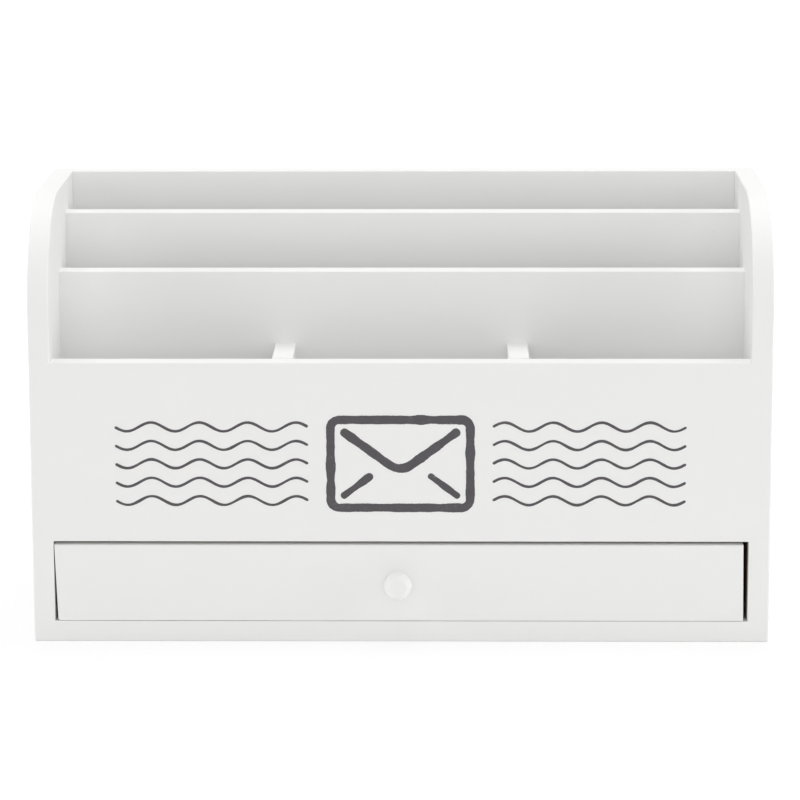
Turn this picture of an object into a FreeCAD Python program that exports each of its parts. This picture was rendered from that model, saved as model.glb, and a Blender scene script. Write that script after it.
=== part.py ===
import FreeCAD, Part
import math
import os

# Envelope sorter with drawer: a painted board rack with a divided front pocket, two letter slots
# behind it, and one shallow drawer under them. Millimetres.
# Frame: +X right, +Y back, +Z up. Origin: centre of the footprint, on the underside.

Vector = FreeCAD.Vector
RIGHT = Vector(1, 0, 0)
BACK = Vector(0, 1, 0)
FRONT = Vector(0, -1, 0)
UP = Vector(0, 0, 1)

# ---------------------------------------------------------------- driving dimensions: carcass
board = 9.6                  # every carcass board and the drawer front, with their paint
inner_width = 310.8          # between the two sides
drawer_bay_height = 36.8     # base board to letter deck
front_panel_height = 81.6    # from the bay's roof line up to the panel's top edge
front_divider_rise = 33.3    # front divider above the front panel
rear_divider_rise = 22.0     # rear divider above the front divider
back_rise = 14.7             # back panel and sides above the rear divider
pocket_depth = 36.0          # front pocket, front to back
letter_slot_depth = 22.8     # each of the two letter slots, front to back
partition_spacing = 105.4    # between the centres of the two short partitions
side_corner_radius = 50.0    # the quarter round at the top front of each side
edge_round = 0.8             # painted, sanded edges
bay_edge_round = 0.3         # edges of the drawer's opening, hardly sanded
joint_groove = 0.3           # fine groove where the back panel meets the sides

# ---------------------------------------------------------------- driving dimensions: drawer
drawer_end_gap = 1.8         # mean gap at each end of the drawer front
drawer_shift = 0.65          # the drawer stands this far left of centre
left_end_lean = 1.2          # how far the top of the drawer front's left end leans left
right_end_lean = 0.4         # the same at its right end, also to the left
drawer_top_gap = 1.5         # above the drawer front
running_gap = 0.15           # under the drawer and behind it
drawer_top_round = 0.9       # top front edge of the drawer front
drawer_end_round = 0.3       # its other front edges, its corners and the edges of its ends
drawer_board = 6.0           # drawer sides and back
drawer_side_inset = 1.0      # drawer side, in from the end of the drawer front
drawer_side_drop = 5.0       # drawer side, down from the top of the drawer front
drawer_edge_round = 0.6      # top edges of the drawer sides and back
bottom_thickness = 3.0       # drawer bottom
bottom_lift = 4.0            # groove's lower edge above the drawer's lower edge
groove_depth = 3.0           # groove in the drawer sides and front
groove_play = 0.2            # groove's height and depth beyond the bottom board

# ---------------------------------------------------------------- driving dimensions: hardware
knob_foot_radius = 4.0
knob_foot_length = 1.0
knob_neck_radius = 3.5
knob_neck_length = 2.4       # from the drawer front to the narrowest place
knob_head_radius = 6.2
knob_head_place = 6.6        # from the drawer front to the widest place
knob_length = 12.0
knob_face_radius = 3.6       # the dished face
knob_dish_depth = 0.5
knob_fullness = 0.8          # 0 is a cone each way from the widest place, 1 a square shoulder
knob_shift = 0.5             # knob, to the left of the drawer's middle
knob_rise = 0.35             # knob, above the middle of the drawer front
screw_radius = 1.75          # knob screw
screw_grip = 7.0             # length of the screw in the knob
screw_head_radius = 3.4
screw_head_height = 2.2
screw_head_round = 1.3
screw_slot_width = 0.9
screw_slot_reach = 1.9       # from the screw's axis to the end of its cross recess
screw_slot_depth = 1.1
screw_hole_clearance = 0.25
thread_play = 0.05
pin_radius = 0.6             # panel pins, all of one thickness
pin_length = 20.0            # in the carcass
drawer_pin_length = 16.0     # in the drawer
bottom_pin_length = 12.0     # through the drawer bottom
pin_head_radius = 0.95
pin_head_height = 0.7
pin_sink = 1.5               # head under the surface, filled and painted over
pin_play = 0.05              # between a pin and its hole
pin_margin = 13.0            # from a pin to the end of its joint
drawer_pin_margin = 4.0
long_joint = 100.0           # a joint longer than this has three pins, a shorter one two

# ---------------------------------------------------------------- heights
base_top = board
bay_roof = base_top + drawer_bay_height
deck_top = bay_roof + board
panel_top = bay_roof + front_panel_height
front_divider_top = panel_top + front_divider_rise
rear_divider_top = front_divider_top + rear_divider_rise
overall_height = rear_divider_top + back_rise

# ---------------------------------------------------------------- depths, from front to back
overall_depth = 4 * board + pocket_depth + 2 * letter_slot_depth
front_y = -overall_depth / 2
back_y = overall_depth / 2
panel_back = front_y + board
front_divider_front = panel_back + pocket_depth
front_divider_back = front_divider_front + board
rear_divider_front = front_divider_back + letter_slot_depth
rear_divider_back = rear_divider_front + board
back_panel_front = rear_divider_back + letter_slot_depth

# ---------------------------------------------------------------- widths
half_inner = inner_width / 2
half_overall = half_inner + board

# ---------------------------------------------------------------- drawer places
drawer_x = -drawer_shift
drawer_low = base_top + running_gap
drawer_high = bay_roof - drawer_top_gap
drawer_rear = back_panel_front - running_gap
drawer_front_back = front_y + board
half_drawer_front = half_inner - drawer_end_gap
half_drawer_box = half_drawer_front - max(left_end_lean, right_end_lean) / 2 - drawer_side_inset
half_drawer_inside = half_drawer_box - drawer_board
drawer_side_top = drawer_high - drawer_side_drop
bottom_low = drawer_low + bottom_lift
bottom_high = bottom_low + bottom_thickness
drawer_back_front = drawer_rear - drawer_board
knob_x = drawer_x - knob_shift
knob_z = (drawer_low + drawer_high) / 2 + knob_rise

TOLERANCE = 1e-4


# ---------------------------------------------------------------- shape helpers
def box(x, y, z):
    """A box from three (low, high) spans."""
    low = Vector(x[0], y[0], z[0])
    return Part.makeBox(x[1] - x[0], y[1] - y[0], z[1] - z[0], low)


def lies_in(edge, **planes):
    """True when the whole edge lies in each plane named, such as y=0, z=12."""
    bound = edge.BoundBox
    spans = {"x": (bound.XMin, bound.XMax), "y": (bound.YMin, bound.YMax), "z": (bound.ZMin, bound.ZMax)}
    return all(abs(end - place) < TOLERANCE for axis, place in planes.items() for end in spans[axis])


def eased(shape, radius, *places):
    """Rounds every edge that lies in one of the places, each a dict of planes."""
    edges = [edge for edge in shape.Edges if any(lies_in(edge, **place) for place in places)]
    return shape.makeFillet(radius, edges)


def bevelled(shape, width, *places):
    """Cuts a fine chamfer on every edge that lies in one of the places."""
    edges = [edge for edge in shape.Edges if any(lies_in(edge, **place) for place in places)]
    return shape.makeChamfer(width, edges)


def group(solids):
    """One node made of several separate solids."""
    return Part.Compound(solids)


# ---------------------------------------------------------------- panel pins
def pin_shape(place, direction, length, play):
    """A headed pin, the top of its head at place, driven along direction."""
    start = place - direction * play
    head = Part.makeCylinder(pin_head_radius + play, pin_head_height + 2 * play, start, direction)
    shank = Part.makeCylinder(pin_radius + play, length + 2 * play, start, direction)
    return head.fuse(shank).removeSplitter()


def pins(spots):
    """The pins of one node, from (place, direction, length) spots."""
    return group([pin_shape(place, direction, length, 0.0) for place, direction, length in spots])


def pinned(shape, *spot_lists):
    """The board with the holes of every pin that enters it."""
    for spots in spot_lists:
        for place, direction, length in spots:
            hole = pin_shape(place, direction, length, pin_play)
            if shape.distToShape(hole)[0] < TOLERANCE:
                shape = shape.cut(hole)
    return shape


def spread(low, high, margin):
    """Pin places along a joint from low to high."""
    places = [low + margin, high - margin]
    if high - low > long_joint:
        places.insert(1, (low + high) / 2)
    return places


# ---------------------------------------------------------------- carcass pins
# The end of each cross board, as its (y, z) spans.
board_ends = {
    "base_board": ((front_y, back_panel_front), (0.0, base_top)),
    "front_panel": ((front_y, panel_back), (bay_roof, panel_top)),
    "letter_deck": ((panel_back, back_panel_front), (bay_roof, deck_top)),
    "front_divider": ((front_divider_front, front_divider_back), (deck_top, front_divider_top)),
    "rear_divider": ((rear_divider_front, rear_divider_back), (deck_top, rear_divider_top)),
    "back_panel": ((back_panel_front, back_y), (0.0, overall_height)),
}
deck_mid = (bay_roof + deck_top) / 2
base_mid = base_top / 2
front_divider_mid = (front_divider_front + front_divider_back) / 2
rear_divider_mid = (rear_divider_front + rear_divider_back) / 2
partition_places = (-partition_spacing / 2, partition_spacing / 2)
pocket_pin_heights = spread(deck_top, panel_top, pin_margin)
cross_pin_places = (-inner_width / 3, 0.0, inner_width / 3)


def side_pin_spots(sign):
    """Pins through one side into the end of every cross board; sign is -1 on the left."""
    direction = RIGHT * -sign
    head_x = sign * (half_overall - pin_sink)
    spots = []
    for y_span, z_span in board_ends.values():
        lies_flat = y_span[1] - y_span[0] > z_span[1] - z_span[0]
        for place in spread(*(y_span if lies_flat else z_span), pin_margin):
            y = place if lies_flat else sum(y_span) / 2
            z = sum(z_span) / 2 if lies_flat else place
            spots.append((Vector(head_x, y, z), direction, pin_length))
    return spots


left_pin_spots = side_pin_spots(-1)
right_pin_spots = side_pin_spots(1)
panel_pin_spots = [(Vector(x, front_y + pin_sink, deck_mid), BACK, pin_length) for x in cross_pin_places]
panel_pin_spots += [
    (Vector(x, front_y + pin_sink, z), BACK, pin_length)
    for x in partition_places
    for z in pocket_pin_heights
]
back_pin_spots = [
    (Vector(x, back_y - pin_sink, z), FRONT, pin_length)
    for x in cross_pin_places
    for z in (base_mid, deck_mid)
]
divider_pin_spots = [
    (Vector(x, front_divider_back - pin_sink, z), FRONT, pin_length)
    for x in partition_places
    for z in pocket_pin_heights
]
deck_pin_spots = [
    (Vector(x, y, bay_roof + pin_sink), UP, pin_length)
    for x in cross_pin_places
    for y in (front_divider_mid, rear_divider_mid)
]


# ---------------------------------------------------------------- carcass boards
def side_outline(x):
    """Outline of a side board in the plane at x, with its quarter round at the top front."""
    start = Vector(x, front_y, overall_height - side_corner_radius)
    end = Vector(x, front_y + side_corner_radius, overall_height)
    inset = side_corner_radius * (1 - math.cos(math.radians(45)))
    middle = Vector(x, front_y + inset, overall_height - inset)
    low_front = Vector(x, front_y, 0)
    low_back = Vector(x, back_y, 0)
    high_back = Vector(x, back_y, overall_height)
    return Part.Wire([
        Part.LineSegment(low_front, start).toShape(),
        Part.Arc(start, middle, end).toShape(),
        Part.LineSegment(end, high_back).toShape(),
        Part.LineSegment(high_back, low_back).toShape(),
        Part.LineSegment(low_back, low_front).toShape(),
    ])


def ease_inner_edge(side, outline, stretch, radius):
    """Rounds the side's inner edge where it is bare: on its outline, within the stretch."""
    piece = side.common(stretch)
    edges = []
    for edge in piece.Edges:
        middle = edge.valueAt((edge.FirstParameter + edge.LastParameter) / 2)
        ends = [vertex.Point for vertex in edge.Vertexes]
        if all(outline.distToShape(Part.Vertex(point))[0] < TOLERANCE for point in ends + [middle]):
            edges.append(edge)
    return side.cut(stretch).fuse(piece.makeFillet(radius, edges)).removeSplitter()


def side_board(sign):
    """One side; sign is -1 on the left. Its inner edge is rounded only where no board meets it."""
    inner = sign * half_inner
    outer = sign * half_overall
    outline = side_outline(inner)
    side = Part.Face(outline).extrude(Vector(outer - inner, 0, 0))
    across = (min(inner, outer), max(inner, outer))
    above_panel = box(across, (front_y, back_panel_front), (panel_top, overall_height))
    beside_drawer = box(across, (front_y, panel_back), (base_top, bay_roof))
    side = ease_inner_edge(side, outline, above_panel, edge_round)
    side = ease_inner_edge(side, outline, beside_drawer, bay_edge_round)
    bottom_front = {"y": front_y, "z": 0.0}
    bottom_back = {"y": back_y, "z": 0.0}
    top_back = {"y": back_y, "z": overall_height}
    return eased(side, edge_round, {"x": outer}, bottom_front, bottom_back, top_back)


def cross_board(name):
    """A board that runs between the two sides."""
    y_span, z_span = board_ends[name]
    return box((-half_inner, half_inner), y_span, z_span)


def partition(x):
    """A short partition across the front pocket, level with the front panel."""
    across = (x - board / 2, x + board / 2)
    shape = box(across, (panel_back, front_divider_front), (deck_top, panel_top))
    return eased(shape, edge_round, {"x": across[0], "z": panel_top}, {"x": across[1], "z": panel_top})


left_side = pinned(side_board(-1), left_pin_spots)
right_side = pinned(side_board(1), right_pin_spots)

base_board = eased(cross_board("base_board"), edge_round, {"y": front_y, "z": 0.0})
base_board = eased(base_board, bay_edge_round, {"y": front_y, "z": base_top})
base_board = pinned(base_board, left_pin_spots, right_pin_spots, back_pin_spots)

front_panel = eased(
    cross_board("front_panel"),
    edge_round,
    {"y": front_y, "z": panel_top},
    {"y": panel_back, "z": panel_top},
)
front_panel = eased(front_panel, bay_edge_round, {"y": front_y, "z": bay_roof})
front_panel = pinned(front_panel, left_pin_spots, right_pin_spots, panel_pin_spots)

letter_deck = pinned(
    cross_board("letter_deck"),
    left_pin_spots,
    right_pin_spots,
    panel_pin_spots,
    back_pin_spots,
    deck_pin_spots,
)

front_divider = eased(
    cross_board("front_divider"),
    edge_round,
    {"y": front_divider_front, "z": front_divider_top},
    {"y": front_divider_back, "z": front_divider_top},
)
front_divider = pinned(front_divider, left_pin_spots, right_pin_spots, divider_pin_spots, deck_pin_spots)

rear_divider = eased(
    cross_board("rear_divider"),
    edge_round,
    {"y": rear_divider_front, "z": rear_divider_top},
    {"y": rear_divider_back, "z": rear_divider_top},
)
rear_divider = pinned(rear_divider, left_pin_spots, right_pin_spots, deck_pin_spots)

back_panel = bevelled(
    cross_board("back_panel"), joint_groove, {"x": -half_inner, "y": back_y}, {"x": half_inner, "y": back_y}
)
back_panel = eased(
    back_panel,
    edge_round,
    {"y": back_panel_front, "z": overall_height},
    {"y": back_y, "z": overall_height},
    {"y": back_y, "z": 0.0},
)
back_panel = pinned(back_panel, left_pin_spots, right_pin_spots, back_pin_spots)

left_partition = pinned(partition(partition_places[0]), panel_pin_spots, divider_pin_spots)
right_partition = pinned(partition(partition_places[1]), panel_pin_spots, divider_pin_spots)

# ---------------------------------------------------------------- drawer pins
drawer_side_mid = half_drawer_box - drawer_board / 2
drawer_back_mid = drawer_rear - drawer_board / 2
drawer_pin_head_x = half_drawer_box - pin_sink
drawer_pin_heights = spread(bottom_high + groove_play, drawer_side_top, drawer_pin_margin)

drawer_front_pin_spots = [
    (Vector(drawer_x + sign * drawer_side_mid, front_y + pin_sink, z), BACK, drawer_pin_length)
    for sign in (-1, 1)
    for z in drawer_pin_heights
]
drawer_side_pin_spots = [
    (Vector(drawer_x + sign * drawer_pin_head_x, drawer_back_mid, z), RIGHT * -sign, drawer_pin_length)
    for sign in (-1, 1)
    for z in drawer_pin_heights
]
drawer_bottom_pin_spots = [
    (Vector(drawer_x + x, drawer_back_mid, bottom_low), UP, bottom_pin_length) for x in cross_pin_places
]


# ---------------------------------------------------------------- drawer boards
def drawer_front_board():
    """The drawer front: slightly out of square, its top front edge rounded more than the others."""
    left = drawer_x - half_drawer_front
    right = drawer_x + half_drawer_front
    low_left = Vector(left + left_end_lean / 2, front_y, drawer_low)
    low_right = Vector(right + right_end_lean / 2, front_y, drawer_low)
    high_right = Vector(right - right_end_lean / 2, front_y, drawer_high)
    high_left = Vector(left - left_end_lean / 2, front_y, drawer_high)
    face = Part.Face(Part.makePolygon([low_left, low_right, high_right, high_left, low_left]))
    shape = eased(face.extrude(BACK * board), drawer_top_round, {"y": front_y, "z": drawer_high})
    round_start = drawer_high - drawer_top_round
    front_edges = [edge for edge in shape.Edges if lies_in(edge, y=front_y)]
    front_edges = [edge for edge in front_edges if not lies_in(edge, z=round_start)]
    corners = [edge for edge in shape.Edges if abs(edge.tangentAt(edge.FirstParameter).y) > 0.5]
    low_corners = [edge for edge in corners if lies_in(edge, z=drawer_low)]
    return shape.makeFillet(drawer_end_round, front_edges + low_corners)


def groove(x_span, y_span):
    """The groove that holds the drawer bottom, cut over the spans given."""
    return box(x_span, y_span, (bottom_low, bottom_high + groove_play))


def drawer_side_board(sign):
    """One drawer side; sign is -1 on the left."""
    inside = drawer_x + sign * half_drawer_inside
    outside = drawer_x + sign * half_drawer_box
    across = (min(inside, outside), max(inside, outside))
    shape = box(across, (drawer_front_back, drawer_rear), (drawer_low, drawer_side_top))
    shape = eased(
        shape,
        drawer_edge_round,
        {"x": across[0], "z": drawer_side_top},
        {"x": across[1], "z": drawer_side_top},
    )
    groove_end = inside + sign * groove_depth
    across_groove = (min(inside, groove_end), max(inside, groove_end))
    return shape.cut(groove(across_groove, (drawer_front_back, drawer_rear)))


def screw_hole():
    """Clearance hole for the knob screw, through the drawer front."""
    radius = screw_radius + screw_hole_clearance
    return Part.makeCylinder(radius, board, Vector(knob_x, front_y, knob_z), BACK)


bottom_reach = half_drawer_inside + groove_depth - groove_play
front_groove_y = drawer_front_back - groove_depth
drawer_front = drawer_front_board().cut(screw_hole())
drawer_front = drawer_front.cut(
    groove((drawer_x - bottom_reach - groove_play, drawer_x + bottom_reach + groove_play),
           (front_groove_y, drawer_front_back))
)
drawer_front = pinned(drawer_front, drawer_front_pin_spots)
drawer_left_side = pinned(drawer_side_board(-1), drawer_front_pin_spots, drawer_side_pin_spots)
drawer_right_side = pinned(drawer_side_board(1), drawer_front_pin_spots, drawer_side_pin_spots)

drawer_back = box(
    (drawer_x - half_drawer_inside, drawer_x + half_drawer_inside),
    (drawer_back_front, drawer_rear),
    (bottom_high, drawer_side_top),
)
drawer_back = eased(
    drawer_back,
    drawer_edge_round,
    {"y": drawer_back_front, "z": drawer_side_top},
    {"y": drawer_rear, "z": drawer_side_top},
)
drawer_back = pinned(drawer_back, drawer_side_pin_spots, drawer_bottom_pin_spots)

drawer_bottom = box(
    (drawer_x - bottom_reach, drawer_x + bottom_reach),
    (front_groove_y + groove_play, drawer_rear),
    (bottom_low, bottom_high),
)
drawer_bottom = pinned(drawer_bottom, drawer_bottom_pin_spots)


# ---------------------------------------------------------------- knob and its screw
def knob():
    """A turned knob: foot, waist, round head and a dished face, with a pilot hole for its screw."""

    def at(radius, distance):
        return Vector(radius, -distance, 0)

    def curve(start, pull, end):
        bend = Part.BezierCurve()
        bend.setPoles([start, pull, end])
        return bend.toShape()

    foot = at(knob_foot_radius, knob_foot_length)
    waist = at(knob_neck_radius, knob_neck_length)
    widest = at(knob_head_radius, knob_head_place)
    rim = at(knob_face_radius, knob_length)
    pull_back = knob_fullness * (knob_head_place - knob_neck_length)
    pull_on = knob_fullness * (knob_length - knob_head_place)
    under_pull = at(knob_head_radius, knob_head_place - pull_back)
    over_pull = at(knob_head_radius, knob_head_place + pull_on)
    dish = at(0, knob_length - knob_dish_depth)
    dish_pull = at(knob_face_radius / 2, knob_length - knob_dish_depth)
    outline = Part.Wire([
        Part.LineSegment(at(0, 0), at(knob_foot_radius, 0)).toShape(),
        Part.LineSegment(at(knob_foot_radius, 0), foot).toShape(),
        Part.LineSegment(foot, waist).toShape(),
        curve(waist, under_pull, widest),
        curve(widest, over_pull, rim),
        curve(rim, dish_pull, dish),
        Part.LineSegment(dish, at(0, 0)).toShape(),
    ])
    turned = Part.Face(outline).revolve(Vector(0, 0, 0), Vector(0, 1, 0), 360)
    pilot_depth = screw_grip + thread_play
    pilot = Part.makeCylinder(screw_radius + thread_play, pilot_depth, Vector(0, 0, 0), FRONT)
    shape = turned.cut(pilot)
    shape.translate(Vector(knob_x, front_y, knob_z))
    return shape


def knob_screw_shape():
    """A round-headed screw from inside the drawer front, with a cross recess in its head."""
    seat = Vector(knob_x, drawer_front_back, knob_z)
    head_top = drawer_front_back + screw_head_height
    head = Part.makeCylinder(screw_head_radius, screw_head_height, seat, BACK)
    rim = [edge for edge in head.Edges if lies_in(edge, y=head_top)]
    head = head.makeFillet(screw_head_round, rim)
    shank = Part.makeCylinder(screw_radius, board + screw_grip, seat, FRONT)
    shape = head.fuse(shank)
    recess_y = (head_top - screw_slot_depth, head_top)
    half_slot = screw_slot_width / 2
    for half_x, half_z in ((screw_slot_reach, half_slot), (half_slot, screw_slot_reach)):
        slot = box((knob_x - half_x, knob_x + half_x), recess_y, (knob_z - half_z, knob_z + half_z))
        shape = shape.cut(slot)
    return shape


# ---------------------------------------------------------------- the nodes
nodes = {
    "left_side": left_side,
    "right_side": right_side,
    "base_board": base_board,
    "front_panel": front_panel,
    "letter_deck": letter_deck,
    "front_divider": front_divider,
    "rear_divider": rear_divider,
    "back_panel": back_panel,
    "left_partition": left_partition,
    "right_partition": right_partition,
    "left_side_pins": pins(left_pin_spots),
    "right_side_pins": pins(right_pin_spots),
    "front_panel_pins": pins(panel_pin_spots),
    "back_panel_pins": pins(back_pin_spots),
    "partition_pins": pins(divider_pin_spots),
    "deck_pins": pins(deck_pin_spots),
    "drawer_front": drawer_front,
    "drawer_left_side": drawer_left_side,
    "drawer_right_side": drawer_right_side,
    "drawer_back": drawer_back,
    "drawer_bottom": drawer_bottom,
    "drawer_knob": knob(),
    "knob_screw": knob_screw_shape(),
    "drawer_front_pins": pins(drawer_front_pin_spots),
    "drawer_side_pins": pins(drawer_side_pin_spots),
    "drawer_bottom_pins": pins(drawer_bottom_pin_spots),
}

os.makedirs("parts", exist_ok=True)
for name, shape in nodes.items():
    shape.exportStep(os.path.join("parts", name + ".step"))
    print(f"{name}: {len(shape.Solids)} solid(s), {shape.Volume / 1000:.2f} cm3, valid {shape.isValid()}")
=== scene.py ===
import math

import bmesh
import bpy
from bpy.props import (
    FloatProperty,
    FloatVectorProperty,
    IntProperty,
    PointerProperty,
)
from mathutils import Matrix, Vector, noise


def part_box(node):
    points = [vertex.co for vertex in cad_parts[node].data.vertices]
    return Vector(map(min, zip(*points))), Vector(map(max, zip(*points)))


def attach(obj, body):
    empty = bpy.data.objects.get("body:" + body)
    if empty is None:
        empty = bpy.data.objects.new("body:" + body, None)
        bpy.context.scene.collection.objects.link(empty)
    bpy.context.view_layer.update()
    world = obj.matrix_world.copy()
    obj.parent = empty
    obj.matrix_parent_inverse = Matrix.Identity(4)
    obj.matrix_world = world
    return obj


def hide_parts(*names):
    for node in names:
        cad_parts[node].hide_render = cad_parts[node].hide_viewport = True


# Looks of an envelope sorter with a drawer: painted boards with hand-sanded edges, a stamped print,
# a turned knob and the bare boards inside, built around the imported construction. Metres.
# Frame: +X right, +Y back, +Z up, origin at the centre of the footprint on the underside.

bl_info = {
    "name": "Envelope sorter with drawer",
    "version": (1, 0, 0),
    "blender": (4, 5, 0),
    "location": "3D View > Sidebar > Sorter",
    "description": "Builds the painted boards, print, knob and finishes of an envelope sorter on its frame",
    "category": "Object",
}

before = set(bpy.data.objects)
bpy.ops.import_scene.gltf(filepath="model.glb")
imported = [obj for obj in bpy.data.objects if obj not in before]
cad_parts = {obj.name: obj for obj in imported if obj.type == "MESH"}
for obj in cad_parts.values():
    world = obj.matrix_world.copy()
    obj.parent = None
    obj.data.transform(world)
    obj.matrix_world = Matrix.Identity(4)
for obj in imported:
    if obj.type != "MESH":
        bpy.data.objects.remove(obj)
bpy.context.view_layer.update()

MM = 0.001
CARCASS = "carcass"
DRAWER = "drawer"
AXES = {"x": 0, "y": 1, "z": 2}
SAME_PLACE = 0.01 * MM
SHARP = math.radians(40)  # faces of a rounding turn less than this from one to the next
SQUARE = 0.9999  # a flat face's normal reaches at least this far along one axis
SIDEWAYS = 0.9  # the same along X for a face that looks left or right, also where it leans
MASK_NEAR = 0.1 * MM  # a mask on one side of a face starts to change this far from it
MASK_FAR = 0.3 * MM  # and has changed this far from it


# ---------------------------------------------------------------- settings
def length(name, description, millimetres, **limits):
    """A length that a user may set, with its default in millimetres."""
    return FloatProperty(
        name=name,
        description=description,
        default=millimetres * MM,
        unit="LENGTH",
        subtype="DISTANCE",
        precision=4,
        **limits,
    )


def colour(name, description, value):
    """A linear colour that a user may set."""
    return FloatVectorProperty(
        name=name, description=description, default=value, size=3, min=0.0, max=1.0, subtype="COLOR"
    )


def share(name, description, value):
    """A number from 0 to 1 that a user may set."""
    return FloatProperty(
        name=name, description=description, default=value, min=0.0, max=1.0, subtype="FACTOR"
    )


def watts(name, description, value):
    """The power of a light."""
    return FloatProperty(name=name, description=description, default=value, min=0.0, unit="POWER")


def number(name, description, value):
    """A whole number that a user may set."""
    return IntProperty(name=name, description=description, default=value, min=1)


def angle(name, description, degrees):
    """An angle that a user may set, with its default in degrees."""
    return FloatProperty(
        name=name, description=description, default=math.radians(degrees), unit="ROTATION", subtype="ANGLE"
    )


class BoardSettings(bpy.types.PropertyGroup):
    """Shape of the carcass boards."""

    edge_round: length("Edge rounding", "Radius of the sanded board edges", 0.8)
    crisp_round: length("Crisp rounding", "Radius of the edges round the drawer and by the back panel", 0.2)
    corner_radius: length("Side corner", "Quarter round at the top front of each side", 50.0)
    sanding: length("Sanding", "Deepest unevenness of the hand-sanded edges", 0.07)
    sanding_wave: length("Sanding wave", "Length of the unevenness along an edge", 14.0)
    cut_spacing: length("Cut spacing", "Distance between the cuts that let an edge wander", 5.0)
    arc_steps: number("Arc steps", "Steps of the side's quarter round", 40)
    round_steps: number("Edge steps", "Steps across a rounded edge", 4)


class DrawerSettings(bpy.types.PropertyGroup):
    """Shape of the drawer."""

    left_end_lean: length("Left lean", "How far the top of the drawer front's left end leans left", 1.2)
    right_end_lean: length("Right lean", "The same at the drawer front's right end, also to the left", 0.4)
    top_round: length("Top rounding", "Radius of the drawer front's top front edge", 0.9)
    end_round: length("End rounding", "Radius of the drawer front's other front edges and its ends", 0.2)
    corner_round: length("Corner rounding", "Radius of the drawer front's lower left corner", 1.0)
    end_paint: length("End paint", "Build-up of paint on the drawer front's ends", 0.35)
    groove_depth: length("Groove depth", "Groove that holds the drawer bottom", 3.0)
    groove_play: length("Groove play", "Groove's height beyond the bottom board", 0.2)


class KnobSettings(bpy.types.PropertyGroup):
    """Turned profile of the knob."""

    foot_radius: length("Foot radius", "Radius where the knob meets the drawer front", 4.0)
    foot_length: length("Foot length", "Length of the straight foot", 1.0)
    neck_radius: length("Neck radius", "Radius of the waist", 3.5)
    neck_place: length("Neck place", "Distance of the waist from the drawer front", 2.4)
    head_place: length("Head place", "Distance of the widest turn from the drawer front", 6.6)
    face_radius: length("Face radius", "Radius of the dished face", 3.6)
    dish_depth: length("Dish depth", "Depth of the dished face", 0.5)
    fullness: share("Fullness", "How square the head's shoulders are", 0.8)
    turns: number("Steps round", "Steps of the turned shape", 96)


class MarkSettings(bpy.types.PropertyGroup):
    """Small marks in the filler and the paint."""

    filler_radius: length("Filler radius", "Radius of the filled spot over each pin head", 1.5)
    filler_height: length("Filler height", "How proud a filled spot stands", 0.05)
    sag_place: length("Sag place", "Distance of the paint sag from the right end of the rear divider", 8.4)
    sag_drop: length("Sag drop", "Distance of the paint sag from the divider's top", 0.7)
    sag_length: length("Sag length", "Length of the paint sag", 4.4)
    sag_height: length("Sag height", "How proud the sag stands", 0.4)
    nib_radius: length("Speck radius", "Radius of a speck in the paint", 0.4)
    rear_nib_place: length("Rear speck place", "The rear divider's speck from its right end", 11.8)
    rear_nib_drop: length("Rear speck drop", "Distance of that speck from the divider's top", 8.8)
    front_nib_place: length("Front speck place", "The front divider's speck from its right end", 34.3)
    front_nib_drop: length("Front speck drop", "Distance of that speck from the divider's top", 2.9)


class PrintSettings(bpy.types.PropertyGroup):
    """The stamped print on the front panel."""

    middle_height: length("Height", "Height of the print's middle above the underside", 82.0)
    envelope_width: length("Envelope width", "Width of the printed envelope", 66.0)
    envelope_height: length("Envelope height", "Height of the printed envelope", 44.0)
    bold_stroke: length("Bold stroke", "Width of the envelope's strokes", 3.9)
    fine_stroke: length("Fine stroke", "Width of the wavy lines", 1.2)
    wave_reach: length("Wave reach", "Length of each wavy line", 86.0)
    wave_clearance: length("Wave clearance", "Gap between the envelope and the wavy lines", 8.0)
    wave_length: length("Wave length", "Length of one wave", 21.5)
    wave_height: length("Wave height", "Height of a crest over the line's middle", 2.0)
    wave_pitch: length("Wave pitch", "Distance between wavy lines", 8.4)
    wave_lines: number("Wavy lines", "Wavy lines on each side", 5)
    unevenness: share("Unevenness", "How much the strokes swell and shrink", 0.24)
    film: length("Ink film", "Thickness of the ink on the paint", 0.03)
    ink: colour("Ink", "Colour of the ink", (0.055, 0.048, 0.056))


class FinishSettings(bpy.types.PropertyGroup):
    """Colours and surfaces of the paint, board and metal."""

    paint: colour("Paint", "Colour of the satin paint", (0.92, 0.92, 0.911))
    paint_roughness: share("Paint roughness", "Roughness of the satin paint", 0.55)
    paint_sheen: share("Paint gloss", "Strength of the paint's reflection, 0.5 for gloss paint", 0.3)
    peel: length("Roller texture", "Depth of the texture that the roller leaves", 0.02)
    board: colour("Bare board", "Colour of the bare fibreboard", (0.36, 0.24, 0.15))
    hardboard: colour("Hardboard", "Colour of the drawer bottom", (0.30, 0.175, 0.095))
    overspray: length("Overspray", "How far the paint reaches into the drawer's bay", 7.0)
    steel: colour("Steel", "Colour of the pins", (0.55, 0.55, 0.56))
    zinc: colour("Zinc", "Colour of the knob screw", (0.62, 0.62, 0.60))


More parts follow.
